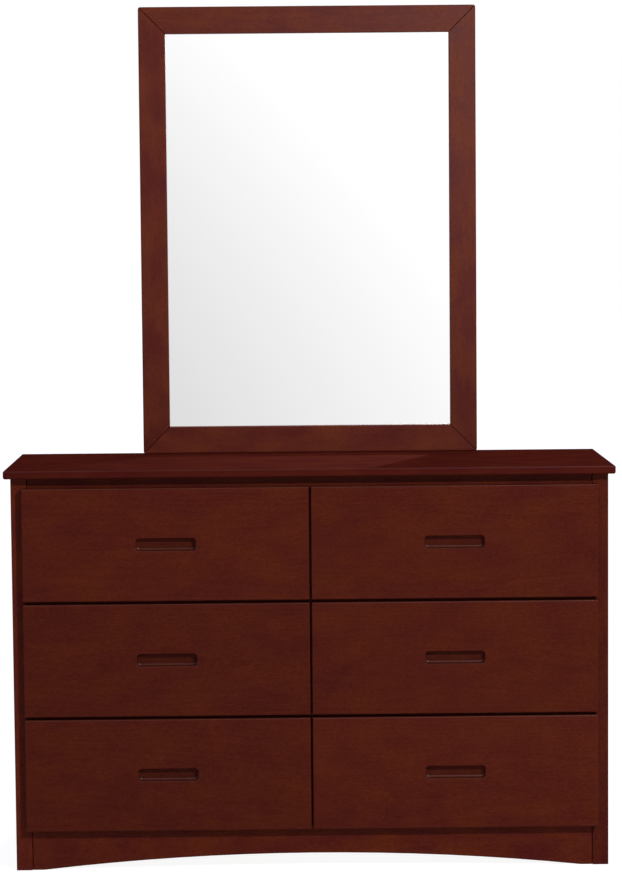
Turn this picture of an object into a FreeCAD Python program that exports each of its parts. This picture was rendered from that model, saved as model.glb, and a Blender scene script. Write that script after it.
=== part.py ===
import FreeCAD, Part
import math
import os

# A six-drawer double dresser in solid wood, with a framed mirror that stands on the back of its top.
# Millimetres. X runs to the right, the front faces -Y and Z runs up from the floor.
# The origin is on the floor, under the middle of the whole object.

Vector = FreeCAD.Vector

# Top panel
TOP_WIDTH = 1200.0
TOP_DEPTH = 400.0
TOP_THICK = 16.0
TOP_UPPER_RADIUS = 2.5
TOP_LOWER_RADIUS = 4.0
TOP_CORNER_RADIUS = 5.0
CABINET_HEIGHT = 797.0
SIDE_OVERHANG = 12.5
FRONT_OVERHANG = 22.0

# Face frame: what shows beside the drawer fronts, and how far the fronts lap over it
STILE_REVEAL = 22.5
TOP_REVEAL = 20.0
BASE_REVEAL = 81.0
SIDE_OVERLAP = 9.0
CENTRE_OVERLAP = 20.5
TOP_OVERLAP = 18.0
BASE_OVERLAP = 9.0
STILE_THICK = 20.0
RAIL_SETBACK = 1.5
EDGE_EASE = 1.5
ARCH_RISE = 29.0
ARCH_END_FLAT = 23.0
TENON_LENGTH = 10.0
TENON_THICK = 8.0
TENON_SHOULDER = 6.0
SHOULDER_GAP = 0.5
MORTISE_END_GAP = 1.0
TONGUE_THICK = 6.0
TONGUE_LENGTH = 6.0

# Carcass behind the face frame
SIDE_THICK = 17.0
PARTITION_THICK = 16.0
PARTITION_FOOT = 40.0
BACK_THICK = 4.0
BACK_REBATE = 7.0
PANEL_PLAY = 0.5
REAR_RAIL_THICK = 20.0
REAR_RAIL_HEIGHT = 70.0
REAR_RAIL_FOOT = 40.0
MIDDLE_RAIL_DROP = 340.0
BLOCK_LEG = 45.0
BLOCK_HEIGHT = 28.0

# Drawers
ROWS = ("bottom", "middle", "top")
ROW_GAP = 6.25
CENTRE_GAP = 4.0
FRAME_GAP = 1.0
FRONT_THICK = 18.0
FRONT_EASE = 2.0
PULL_WIDTH = 118.0
PULL_HEIGHT = 25.0
PULL_DEPTH = 12.0
PULL_CORNER_RADIUS = 7.0
PULL_COVE_RADIUS = 5.0
PULL_RIM_CHAMFER = 1.0
BOX_SIDE_THICK = 15.0
BOX_BACK_THICK = 15.0
BOX_SIDE_GAP = 1.5
BOX_VERTICAL_GAP = 7.0
BOX_REAR_GAP = 5.0
BOX_EASE = 2.0
DADO_DEPTH = 6.0
BOTTOM_THICK = 4.0
BOTTOM_RISE = 8.0
BOTTOM_GROOVE_DEPTH = 6.0

# Runners: hardwood strips that the grooves in the drawer sides ride on
RUNNER_HEIGHT = 15.0
RUNNER_RISE = 84.0
RUNNER_ENGAGEMENT = 7.0
RUNNER_TIP_GAP = 1.0
RUNNER_BEARING_GAP = 0.3
RUNNER_LOWER_GAP = 1.2
RUNNER_STOP_GAP = 3.0

# Mirror
MIRROR_WIDTH = 698.0
MIRROR_HEIGHT = 926.0
MEMBER_WIDTH = 55.3
MIRROR_SHIFT = 5.3
LIP_THICK = 11.0
GLASS_THICK = 4.0
BACKING_THICK = 3.0
REBATE_WIDTH = 8.0
MIRROR_CORNER_RADIUS = 5.0
MIRROR_OUTER_EASE = 2.5
MIRROR_INNER_EASE = 1.5
MITRE_GROOVE_WIDTH = 1.6
MITRE_GROOVE_DEPTH = 4.0
SUPPORT_WIDTH = 40.0
SUPPORT_THICK = 20.0
SUPPORT_INSET = 4.0
SUPPORT_BELOW = 400.0
SUPPORT_ABOVE = 560.0
SUPPORT_CORNER_RADIUS = 8.0
CLIP_LENGTH = 28.0
CLIP_WIDTH = 12.0
CLIP_THICK = 1.5
CLIP_SPACING = 320.0

# Fasteners
SCREW_RADIUS = 2.0
SCREW_HEAD_RADIUS = 4.0
SCREW_HEAD_DEPTH = 2.4
SCREW_SIDES = 10
SCREW_PLAY = 0.15
SUPPORT_SCREW_BITE = 11.0
STILE_SCREWS = 2

# How near two coordinates lie when they count as one, and how far a cutter runs past its face
TOUCH = 0.01
OVERRUN = 1.0

# Depths, from the front edge of the top to the back of the mirror supports
FRONT_Y = -(TOP_DEPTH + SUPPORT_THICK) / 2
BACK_Y = FRONT_Y + TOP_DEPTH
STILE_FACE_Y = FRONT_Y + FRONT_OVERHANG
RAIL_FACE_Y = STILE_FACE_Y + RAIL_SETBACK
FRAME_BACK_Y = STILE_FACE_Y + STILE_THICK
BACK_PANEL_Y = BACK_Y - BACK_THICK
REAR_RAIL_Y = BACK_PANEL_Y - REAR_RAIL_THICK
DRAWER_REAR_Y = STILE_FACE_Y - FRAME_GAP
DRAWER_FACE_Y = DRAWER_REAR_Y - FRONT_THICK
BOX_REAR_Y = REAR_RAIL_Y - BOX_REAR_GAP
TENON_Y = (RAIL_FACE_Y + FRAME_BACK_Y - TENON_THICK) / 2
MEMBER_THICK = LIP_THICK + GLASS_THICK + BACKING_THICK
MIRROR_FACE_Y = BACK_Y - MEMBER_THICK
SUPPORT_REAR_Y = BACK_Y + SUPPORT_THICK

# Widths on the right-hand side; the left-hand side mirrors them
BODY_X = TOP_WIDTH / 2 - SIDE_OVERHANG
SIDE_INNER_X = BODY_X - SIDE_THICK
OPENING_OUTER_X = BODY_X - STILE_REVEAL - SIDE_OVERLAP
OPENING_INNER_X = CENTRE_GAP / 2 + CENTRE_OVERLAP
PARTITION_X = PARTITION_THICK / 2
FRONT_INNER_X = CENTRE_GAP / 2
FRONT_OUTER_X = BODY_X - STILE_REVEAL
BOX_INNER_X = OPENING_INNER_X + BOX_SIDE_GAP
BOX_OUTER_X = OPENING_OUTER_X - BOX_SIDE_GAP
SUPPORT_X = MIRROR_WIDTH / 2 - SUPPORT_INSET - SUPPORT_WIDTH / 2

# Heights
UNDERSIDE_Z = CABINET_HEIGHT - TOP_THICK
TOP_RAIL_Z = UNDERSIDE_Z - TOP_REVEAL - TOP_OVERLAP
BASE_RAIL_TOP_Z = BASE_REVEAL + BASE_OVERLAP
FRONT_HEIGHT = (UNDERSIDE_Z - TOP_REVEAL - BASE_REVEAL - ROW_GAP * (len(ROWS) - 1)) / len(ROWS)
BOX_HEIGHT = FRONT_HEIGHT - TOP_OVERLAP - BASE_OVERLAP - 2 * BOX_VERTICAL_GAP
REAR_TOP_RAIL_Z = UNDERSIDE_Z - REAR_RAIL_HEIGHT
REAR_MIDDLE_RAIL_Z = CABINET_HEIGHT - MIDDLE_RAIL_DROP
MIRROR_TOP_Z = CABINET_HEIGHT + MIRROR_HEIGHT
BLOCK_Z = UNDERSIDE_Z - BLOCK_HEIGHT


def board(x0, x1, y0, y1, z0, z1):
    """Square-edged board between two opposite corners."""
    return Part.makeBox(x1 - x0, y1 - y0, z1 - z0, Vector(x0, y0, z0))


def prism(points, direction):
    """Straight prism on a closed outline of straight sides."""
    return Part.Face(Part.makePolygon(points + points[:1])).extrude(direction)


def rounded_plate(x0, x1, z0, z1, radius, y, thick):
    """Upright plate with four rounded corners, its front at y."""
    plate = board(x0, x1, y, y + thick, z0, z1)
    corners = [edge for edge in plate.Edges if edge.BoundBox.YLength > thick - TOUCH]
    return plate.makeFillet(radius, corners)


def edges_on(shape, **planes):
    """Edges that lie wholly in every one of the given planes, such as y=0."""
    found = []
    for edge in shape.Edges:
        limits = edge.BoundBox
        spans = {
            "x": (limits.XMin, limits.XMax),
            "y": (limits.YMin, limits.YMax),
            "z": (limits.ZMin, limits.ZMax),
        }
        if all(abs(end - at) < TOUCH for axis, at in planes.items() for end in spans[axis]):
            found.append(edge)
    return found


def mirrored(shape):
    """The same piece on the other side of the middle plane."""
    return shape.mirror(Vector(0, 0, 0), Vector(1, 0, 0))


def pair(shapes):
    """A list of pieces with their mirror images after them."""
    return shapes + [mirrored(shape) for shape in shapes]


def screw_outline(point, radius):
    """Closed outline of a screw that runs along Y, with a few straight sides."""
    turns = [2 * math.pi * side / SCREW_SIDES for side in range(SCREW_SIDES)]
    corners = [point + Vector(radius * math.cos(turn), 0, radius * math.sin(turn)) for turn in turns]
    return Part.makePolygon(corners + corners[:1])


def wood_screw(face, length, play=0.0):
    """Countersunk wood screw, driven forwards until it is flush, or its hole where it has play."""
    neck = face - Vector(0, SCREW_HEAD_DEPTH, 0)
    outlines = [screw_outline(face, SCREW_HEAD_RADIUS + play), screw_outline(neck, SCREW_RADIUS + play)]
    head = Part.makeLoft(outlines, True, True)
    shank = Part.Face(screw_outline(neck, SCREW_RADIUS + play))
    return head.fuse(shank.extrude(Vector(0, SCREW_HEAD_DEPTH - length - play, 0))).removeSplitter()


def in_place(shape):
    """A piece of the mirror, moved from the middle to where the mirror stands along the top."""
    return shape.translated(Vector(MIRROR_SHIFT, 0, 0))


def top_panel():
    """Top board: rounded front corners, and edges rounded more below than above, on the front and ends."""
    plan = board(-TOP_WIDTH / 2, TOP_WIDTH / 2, FRONT_Y, BACK_Y, UNDERSIDE_Z, CABINET_HEIGHT)
    corners = edges_on(plan, x=-TOP_WIDTH / 2, y=FRONT_Y) + edges_on(plan, x=TOP_WIDTH / 2, y=FRONT_Y)
    plan = plan.makeFillet(TOP_CORNER_RADIUS, corners)
    for radius, z in ((TOP_LOWER_RADIUS, UNDERSIDE_Z), (TOP_UPPER_RADIUS, CABINET_HEIGHT)):
        rims = [edge for edge in edges_on(plan, z=z) if edge.BoundBox.YMin < BACK_Y - TOUCH]
        plan = plan.makeFillet(radius, rims)
    return plan


def rail_tenon(z0, z1, end_gap):
    """Tenon at a front rail's right-hand end, or its mortise where there is an end gap."""
    return board(
        OPENING_OUTER_X - SHOULDER_GAP, OPENING_OUTER_X + TENON_LENGTH + end_gap,
        TENON_Y, TENON_Y + TENON_THICK,
        z0 + TENON_SHOULDER, z1 - TENON_SHOULDER,
    )


def inner_tenon(z0, z1, end_gap):
    """Tenon of a right-hand divider in the centre stile, or its mortise where there is an end gap."""
    return board(
        OPENING_INNER_X - TENON_LENGTH - end_gap, OPENING_INNER_X,
        TENON_Y, TENON_Y + TENON_THICK,
        z0 + TENON_SHOULDER, z1 - TENON_SHOULDER,
    )


def centre_tenon(z0, z1):
    """Tenon at one end of the centre stile, or its mortise."""
    half = OPENING_INNER_X - TENON_SHOULDER
    return board(-half, half, TENON_Y, TENON_Y + TENON_THICK, z0, z1)


def side_tongue():
    """Tongue along the front of the right side panel, or its groove in the stile."""
    middle = SIDE_INNER_X + SIDE_THICK / 2
    return board(
        middle - TONGUE_THICK / 2, middle + TONGUE_THICK / 2,
        FRAME_BACK_Y - TONGUE_LENGTH, FRAME_BACK_Y,
        0, UNDERSIDE_Z,
    )


def front_stile():
    """Right-hand upright of the face frame, with eased front edges, mortises and a groove."""
    stile = board(OPENING_OUTER_X, BODY_X, STILE_FACE_Y, FRAME_BACK_Y, 0, UNDERSIDE_Z)
    arrises = edges_on(stile, x=BODY_X, y=STILE_FACE_Y) + edges_on(stile, x=OPENING_OUTER_X, y=STILE_FACE_Y)
    stile = stile.makeFillet(EDGE_EASE, arrises)
    rails = [(TOP_RAIL_Z, UNDERSIDE_Z), (0, BASE_RAIL_TOP_Z)]
    rails += [divider_heights(row) for row in divided_rows()]
    mortises = [rail_tenon(z0, z1, MORTISE_END_GAP) for z0, z1 in rails]
    return stile.cut(mortises + [side_tongue()])


def shoulder_arrises(rail, end):
    """Front edges of a rail where it meets the stiles."""
    return edges_on(rail, x=-end, y=RAIL_FACE_Y) + edges_on(rail, x=end, y=RAIL_FACE_Y)


def top_front_rail():
    """Rail under the top, with a tenon at each end and a mortise for the centre stile."""
    end = OPENING_OUTER_X - SHOULDER_GAP
    rail = board(-end, end, RAIL_FACE_Y, FRAME_BACK_Y, TOP_RAIL_Z, UNDERSIDE_Z)
    rail = rail.makeChamfer(EDGE_EASE, shoulder_arrises(rail, end))
    rail = rail.fuse(pair([rail_tenon(TOP_RAIL_Z, UNDERSIDE_Z, 0)])).removeSplitter()
    return rail.cut(centre_tenon(TOP_RAIL_Z, TOP_RAIL_Z + TENON_LENGTH + MORTISE_END_GAP))


def arched_base_rail():
    """Rail at the floor, its lower edge arched between two short flats, with a tenon at each end."""
    end = OPENING_OUTER_X - SHOULDER_GAP
    spring = OPENING_OUTER_X - ARCH_END_FLAT
    left_foot = Vector(-end, RAIL_FACE_Y, 0)
    right_foot = Vector(end, RAIL_FACE_Y, 0)
    left_spring = Vector(-spring, RAIL_FACE_Y, 0)
    right_spring = Vector(spring, RAIL_FACE_Y, 0)
    crown = Vector(0, RAIL_FACE_Y, ARCH_RISE)
    upper_left = Vector(-end, RAIL_FACE_Y, BASE_RAIL_TOP_Z)
    upper_right = Vector(end, RAIL_FACE_Y, BASE_RAIL_TOP_Z)
    outline = Part.Wire([
        Part.makeLine(left_foot, left_spring),
        Part.Arc(left_spring, crown, right_spring).toShape(),
        Part.makeLine(right_spring, right_foot),
        Part.makeLine(right_foot, upper_right),
        Part.makeLine(upper_right, upper_left),
        Part.makeLine(upper_left, left_foot),
    ])
    rail = Part.Face(outline).extrude(Vector(0, FRAME_BACK_Y - RAIL_FACE_Y, 0))
    lower = [edge for edge in edges_on(rail, y=RAIL_FACE_Y) if edge.BoundBox.ZMax < ARCH_RISE + TOUCH]
    rail = rail.makeChamfer(EDGE_EASE, lower + shoulder_arrises(rail, end))
    rail = rail.fuse(pair([rail_tenon(0, BASE_RAIL_TOP_Z, 0)])).removeSplitter()
    return rail.cut(centre_tenon(BASE_RAIL_TOP_Z - TENON_LENGTH - MORTISE_END_GAP, BASE_RAIL_TOP_Z))


def divider_rail(row):
    """Right-hand rail between a row of drawers and the row above it, with a tenon at each end."""
    z0, z1 = divider_heights(row)
    end = OPENING_OUTER_X - SHOULDER_GAP
    rail = board(OPENING_INNER_X, end, RAIL_FACE_Y, FRAME_BACK_Y, z0, z1)
    return rail.fuse([rail_tenon(z0, z1, 0), inner_tenon(z0, z1, 0)]).removeSplitter()


def centre_front_stile():
    """Upright behind the gap between the drawer columns, with end tenons and the dividers' mortises."""
    stile = board(-OPENING_INNER_X, OPENING_INNER_X, RAIL_FACE_Y, FRAME_BACK_Y, BASE_RAIL_TOP_Z, TOP_RAIL_Z)
    lower = centre_tenon(BASE_RAIL_TOP_Z - TENON_LENGTH, BASE_RAIL_TOP_Z)
    upper = centre_tenon(TOP_RAIL_Z, TOP_RAIL_Z + TENON_LENGTH)
    dividers = [divider_heights(row) for row in divided_rows()]
    mortises = pair([inner_tenon(z0, z1, MORTISE_END_GAP) for z0, z1 in dividers])
    return stile.fuse([lower, upper]).removeSplitter().cut(mortises)


def side_panel():
    """Right side panel, with a tongue for the stile and a rebate for the back panel."""
    panel = board(SIDE_INNER_X, BODY_X, FRAME_BACK_Y, BACK_Y, 0, UNDERSIDE_Z)
    panel = panel.makeFillet(EDGE_EASE, edges_on(panel, x=BODY_X, y=BACK_Y))
    panel = panel.fuse(side_tongue()).removeSplitter()
    rebate = board(SIDE_INNER_X, SIDE_INNER_X + BACK_REBATE, BACK_PANEL_Y, BACK_Y, 0, UNDERSIDE_Z)
    return panel.cut(rebate)


def rear_rail(z):
    """Rail between the side panels, in front of the back panel, with its lower edge at z."""
    return board(-SIDE_INNER_X, SIDE_INNER_X, REAR_RAIL_Y, BACK_PANEL_Y, z, z + REAR_RAIL_HEIGHT)


def centre_partition():
    """Upright board between the drawer columns, notched round the rear rails."""
    partition = board(
        -PARTITION_X, PARTITION_X, FRAME_BACK_Y, BACK_PANEL_Y, PARTITION_FOOT, UNDERSIDE_Z
    )
    return partition.cut([rear_rail(z) for z in (REAR_TOP_RAIL_Z, REAR_MIDDLE_RAIL_Z, REAR_RAIL_FOOT)])


def back_panel():
    """Thin board in the side panels' rebates, behind the rear rails."""
    half = SIDE_INNER_X + BACK_REBATE - PANEL_PLAY
    return board(-half, half, BACK_PANEL_Y, BACK_Y, REAR_RAIL_FOOT, UNDERSIDE_Z)


def corner_block(x, y, x_sign, y_sign):
    """Three-cornered block under the top, in the corner at x, y."""
    corner = Vector(x, y, BLOCK_Z)
    along_x = corner + Vector(x_sign * BLOCK_LEG, 0, 0)
    along_y = corner + Vector(0, y_sign * BLOCK_LEG, 0)
    return prism([corner, along_x, along_y], Vector(0, 0, BLOCK_HEIGHT))


def block_corners():
    """Corners of the right-hand drawer bay under the top, with the way into the bay."""
    return [
        (PARTITION_X, FRAME_BACK_Y, 1, 1),
        (PARTITION_X, REAR_RAIL_Y, 1, -1),
        (SIDE_INNER_X, FRAME_BACK_Y, -1, 1),
        (SIDE_INNER_X, REAR_RAIL_Y, -1, -1),
    ]


def row_front_z(row):
    """Lower edge of the drawer fronts in a row, counted from the bottom."""
    return BASE_REVEAL + row * (FRONT_HEIGHT + ROW_GAP)


def divided_rows():
    """The rows that have another row above them."""
    return range(len(ROWS) - 1)


def divider_heights(row):
    """Lower and upper edge of the rail between a row and the row above it."""
    return row_front_z(row) + FRONT_HEIGHT - TOP_OVERLAP, row_front_z(row + 1) + BASE_OVERLAP


def row_box_z(row):
    """Lower edge of the drawer sides in a row."""
    return row_front_z(row) + BASE_OVERLAP + BOX_VERTICAL_GAP


def runner(x0, x1, row):
    """Runner of one row, between the panel that carries it and its tip in the drawer's groove."""
    z = row_box_z(row) + RUNNER_RISE
    return board(x0, x1, FRAME_BACK_Y, BOX_REAR_Y, z, z + RUNNER_HEIGHT)


def pull_cutter(x, z):
    """Oblong finger pull centred at x, z, with round corners and a coved floor."""
    pull = rounded_plate(
        x - PULL_WIDTH / 2, x + PULL_WIDTH / 2, z - PULL_HEIGHT / 2, z + PULL_HEIGHT / 2,
        PULL_CORNER_RADIUS, DRAWER_FACE_Y, PULL_DEPTH,
    )
    return pull.makeFillet(PULL_COVE_RADIUS, edges_on(pull, y=DRAWER_FACE_Y + PULL_DEPTH))


def drawer_front(row, sides, groove):
    """Overlay front with eased edges and a finger pull, housed behind for the sides and bottom."""
    z = row_front_z(row)
    front = board(FRONT_INNER_X, FRONT_OUTER_X, DRAWER_FACE_Y, DRAWER_REAR_Y, z, z + FRONT_HEIGHT)
    front = front.makeFillet(FRONT_EASE, edges_on(front, y=DRAWER_FACE_Y))
    pull = pull_cutter((FRONT_INNER_X + FRONT_OUTER_X) / 2, z + FRONT_HEIGHT / 2)
    front = front.cut(pull)
    limits = pull.BoundBox
    limits.enlarge(TOUCH)
    rim = [edge for edge in edges_on(front, y=DRAWER_FACE_Y) if limits.isInside(edge.BoundBox)]
    front = front.makeChamfer(PULL_RIM_CHAMFER, rim)
    return front.cut(sides + [groove])


def long_edges(side, z):
    """The two edges at z that run along a drawer side."""
    return [edge for edge in edges_on(side, z=z) if edge.BoundBox.YLength > edge.BoundBox.XLength]


def runner_groove(x0, x1, row):
    """Groove in a drawer side for its runner, open behind and stopped in front."""
    z = row_box_z(row) + RUNNER_RISE
    return board(
        x0, x1, FRAME_BACK_Y - RUNNER_STOP_GAP, BOX_REAR_Y,
        z - RUNNER_LOWER_GAP, z + RUNNER_HEIGHT + RUNNER_BEARING_GAP,
    )


def drawer_pieces(row):
    """The five boards of a right-hand drawer, by the names of their places."""
    z = row_box_z(row)
    top = z + BOX_HEIGHT
    floor = z + BOTTOM_RISE
    inside_inner_x = BOX_INNER_X + BOX_SIDE_THICK
    inside_outer_x = BOX_OUTER_X - BOX_SIDE_THICK
    housing_y = DRAWER_REAR_Y - DADO_DEPTH
    groove_depth = RUNNER_ENGAGEMENT + RUNNER_TIP_GAP

    bottom_groove = board(
        inside_inner_x - BOTTOM_GROOVE_DEPTH, inside_outer_x + BOTTOM_GROOVE_DEPTH,
        DRAWER_REAR_Y - BOTTOM_GROOVE_DEPTH, BOX_REAR_Y,
        floor, floor + BOTTOM_THICK,
    )
    inner = board(BOX_INNER_X, inside_inner_x, housing_y, BOX_REAR_Y, z, top)
    outer = board(inside_outer_x, BOX_OUTER_X, housing_y, BOX_REAR_Y, z, top)
    front = drawer_front(row, [inner, outer], bottom_groove)
    inner = inner.makeChamfer(BOX_EASE, long_edges(inner, top))
    outer = outer.makeChamfer(BOX_EASE, long_edges(outer, top))
    inner = inner.cut([bottom_groove, runner_groove(BOX_INNER_X, BOX_INNER_X + groove_depth, row)])
    outer = outer.cut([bottom_groove, runner_groove(BOX_OUTER_X - groove_depth, BOX_OUTER_X, row)])
    back = board(
        inside_inner_x, inside_outer_x, BOX_REAR_Y - BOX_BACK_THICK, BOX_REAR_Y, floor + BOTTOM_THICK, top
    )
    bottom = board(
        inside_inner_x - BOTTOM_GROOVE_DEPTH + PANEL_PLAY, inside_outer_x + BOTTOM_GROOVE_DEPTH - PANEL_PLAY,
        DRAWER_REAR_Y - BOTTOM_GROOVE_DEPTH + PANEL_PLAY, BOX_REAR_Y,
        floor, floor + BOTTOM_THICK,
    )
    return {"front": front, "inner_side": inner, "outer_side": outer, "back": back, "bottom": bottom}


def mitre_groove(x_sign, z, z_sign):
    """Fine V-shaped groove along a mitre of the mirror frame, from its outer corner inwards."""
    corner = Vector(x_sign * MIRROR_WIDTH / 2, MIRROR_FACE_Y, z)
    flare = 1 + OVERRUN / MITRE_GROOVE_DEPTH
    across = Vector(z_sign, 0, x_sign).normalize() * (MITRE_GROOVE_WIDTH / 2 * flare)
    inwards = Vector(-x_sign, 0, z_sign) * MEMBER_WIDTH
    outside = Vector(0, -OVERRUN, 0)
    point = Vector(0, MITRE_GROOVE_DEPTH, 0)
    start = corner - inwards * (OVERRUN / MEMBER_WIDTH)
    length = inwards * (1 + 2 * OVERRUN / MEMBER_WIDTH)
    return prism([start + outside - across, start + outside + across, start + point], length)


def mirror_frame():
    """The four mirror members as one rebated frame, with eased edges and a groove at each mitre."""
    half = MIRROR_WIDTH / 2
    inner = half - MEMBER_WIDTH
    rebate = inner + REBATE_WIDTH
    z0 = CABINET_HEIGHT
    frame = rounded_plate(-half, half, z0, MIRROR_TOP_Z, MIRROR_CORNER_RADIUS, MIRROR_FACE_Y, MEMBER_THICK)
    frame = frame.makeFillet(MIRROR_OUTER_EASE, edges_on(frame, y=MIRROR_FACE_Y))
    sight = board(-inner, inner, MIRROR_FACE_Y, BACK_Y, z0 + MEMBER_WIDTH, MIRROR_TOP_Z - MEMBER_WIDTH)
    frame = frame.cut(sight)
    limits = sight.BoundBox
    limits.enlarge(TOUCH)
    lip = [edge for edge in edges_on(frame, y=MIRROR_FACE_Y) if limits.isInside(edge.BoundBox)]
    frame = frame.makeFillet(MIRROR_INNER_EASE, lip)
    shoulder = MEMBER_WIDTH - REBATE_WIDTH
    frame = frame.cut(board(
        -rebate, rebate, MIRROR_FACE_Y + LIP_THICK, BACK_Y, z0 + shoulder, MIRROR_TOP_Z - shoulder
    ))
    grooves = [mitre_groove(x, z, way) for x in (-1, 1) for z, way in ((z0, 1), (MIRROR_TOP_Z, -1))]
    return frame.cut(grooves)


def rail_wedge(z, z_sign):
    """Region of a mirror rail, bounded by the two mitres, with its outer edge at z."""
    half = MIRROR_WIDTH / 2
    depth = MEMBER_WIDTH + OVERRUN
    outer = half + OVERRUN
    inner = half - depth
    y = MIRROR_FACE_Y - OVERRUN
    outline = [
        Vector(-outer, y, z - z_sign * OVERRUN),
        Vector(outer, y, z - z_sign * OVERRUN),
        Vector(inner, y, z + z_sign * depth),
        Vector(-inner, y, z + z_sign * depth),
    ]
    return prism(outline, Vector(0, MEMBER_THICK + 2 * OVERRUN, 0))


def mirror_members():
    """The mirror frame cut into its four mitred members."""
    frame = mirror_frame()
    bottom = rail_wedge(CABINET_HEIGHT, 1)
    top = rail_wedge(MIRROR_TOP_Z, -1)
    stiles = frame.cut([bottom, top])
    left, right = sorted(stiles.Solids, key=lambda solid: solid.CenterOfMass.x)
    return {
        "mirror_bottom_rail": frame.common(bottom),
        "mirror_top_rail": frame.common(top),
        "mirror_left_stile": left,
        "mirror_right_stile": right,
    }


def mirror_pane(y, thick):
    """Glass or backing in the mirror frame's rebate, with its front at y."""
    half = MIRROR_WIDTH / 2 - MEMBER_WIDTH + REBATE_WIDTH - PANEL_PLAY
    shoulder = MEMBER_WIDTH - REBATE_WIDTH + PANEL_PLAY
    return board(-half, half, y, y + thick, CABINET_HEIGHT + shoulder, MIRROR_TOP_Z - shoulder)


def mirror_support():
    """Right-hand slat behind the carcass and the mirror's stile, with rounded corners."""
    x0 = SUPPORT_X - SUPPORT_WIDTH / 2
    x1 = SUPPORT_X + SUPPORT_WIDTH / 2
    z0 = CABINET_HEIGHT - SUPPORT_BELOW
    z1 = CABINET_HEIGHT + SUPPORT_ABOVE
    return rounded_plate(x0, x1, z0, z1, SUPPORT_CORNER_RADIUS, BACK_Y, SUPPORT_THICK)


def rail_screw_points():
    """Where a support's screws enter that go on into the two upper rear rails."""
    rails = (REAR_TOP_RAIL_Z, REAR_MIDDLE_RAIL_Z)
    return [Vector(SUPPORT_X, SUPPORT_REAR_Y, z + REAR_RAIL_HEIGHT / 2) for z in rails]


def stile_screw_points():
    """Where a support's screws enter that go on into the mirror's stile."""
    step = SUPPORT_ABOVE / STILE_SCREWS
    heights = [CABINET_HEIGHT + step * (number + 0.5) for number in range(STILE_SCREWS)]
    return [Vector(SUPPORT_X, SUPPORT_REAR_Y, z) for z in heights]


def clip_places():
    """Screw points of the backing clips, with the way each clip points."""
    reach = MEMBER_WIDTH - REBATE_WIDTH - CLIP_LENGTH / 2 + CLIP_WIDTH / 2
    side_x = MIRROR_WIDTH / 2 - reach
    side_z = (CABINET_HEIGHT + SUPPORT_ABOVE + MIRROR_TOP_Z) / 2
    places = [(Vector(-way * side_x, BACK_Y, side_z), Vector(way, 0, 0)) for way in (1, -1)]
    for x in (-CLIP_SPACING / 2, CLIP_SPACING / 2):
        places.append((Vector(x, BACK_Y, CABINET_HEIGHT + reach), Vector(0, 0, 1)))
        places.append((Vector(x, BACK_Y, MIRROR_TOP_Z - reach), Vector(0, 0, -1)))
    return places


def backing_clip(point, way):
    """Steel clip that lies on the frame at its square end and on the backing at its round end."""
    radius = CLIP_WIDTH / 2
    square_end = point - way * radius
    round_end = point + way * (CLIP_LENGTH - CLIP_WIDTH)
    out = Vector(0, 1, 0)
    across = way.cross(out) * radius
    outline = [square_end + across, round_end + across, round_end - across, square_end - across]
    nose = Part.makeCylinder(radius, CLIP_THICK, round_end, out)
    return prism(outline, out * CLIP_THICK).fuse(nose).removeSplitter()


def add_cabinet(parts):
    """Carcass, face frame and top."""
    parts["top_panel"] = top_panel()
    parts["right_side_panel"] = side_panel()
    parts["left_side_panel"] = mirrored(side_panel())
    parts["right_front_stile"] = front_stile()
    parts["left_front_stile"] = mirrored(front_stile())
    parts["centre_front_stile"] = centre_front_stile()
    parts["top_front_rail"] = top_front_rail()
    parts["arched_base_rail"] = arched_base_rail()
    for row, name in zip(divided_rows(), ("lower_front_rails", "upper_front_rails")):
        parts[name] = Part.makeCompound(pair([divider_rail(row)]))
    parts["centre_partition"] = centre_partition()
    parts["rear_top_rail"] = rear_rail(REAR_TOP_RAIL_Z)
    parts["rear_middle_rail"] = rear_rail(REAR_MIDDLE_RAIL_Z)
    parts["rear_base_rail"] = rear_rail(REAR_RAIL_FOOT)
    parts["back_panel"] = back_panel()


def add_corner_blocks(parts):
    """Glue blocks that hold the top down."""
    parts["corner_blocks"] = Part.makeCompound(pair([corner_block(*corner) for corner in block_corners()]))


def add_runners(parts):
    """Runners on the side panels and on the partition."""
    rows = range(len(ROWS))
    side = Part.makeCompound([runner(BOX_OUTER_X - RUNNER_ENGAGEMENT, SIDE_INNER_X, row) for row in rows])
    inner = Part.makeCompound([runner(PARTITION_X, BOX_INNER_X + RUNNER_ENGAGEMENT, row) for row in rows])
    parts["right_side_runners"] = side
    parts["left_side_runners"] = mirrored(side)
    parts["partition_right_runners"] = inner
    parts["partition_left_runners"] = mirrored(inner)


def add_drawers(parts):
    """Three rows of two drawers; the left-hand ones mirror the right-hand ones."""
    for row, row_name in enumerate(ROWS):
        pieces = drawer_pieces(row)
        for side, inner, outer in (("right", "left", "right"), ("left", "right", "left")):
            drawer = f"{row_name}_{side}_drawer"
            for place, shape in pieces.items():
                place = place.replace("inner", inner).replace("outer", outer)
                parts[f"{drawer}_{place}"] = shape if side == "right" else mirrored(shape)


def add_mirror(parts):
    """Mitred frame, glass, backing and its clips."""
    glass_y = MIRROR_FACE_Y + LIP_THICK
    pieces = mirror_members()
    pieces["mirror_glass"] = mirror_pane(glass_y, GLASS_THICK)
    pieces["mirror_backing"] = mirror_pane(glass_y + GLASS_THICK, BACKING_THICK)
    pieces["backing_clips"] = Part.makeCompound([backing_clip(point, way) for point, way in clip_places()])
    for name, shape in pieces.items():
        parts[name] = in_place(shape)


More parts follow.
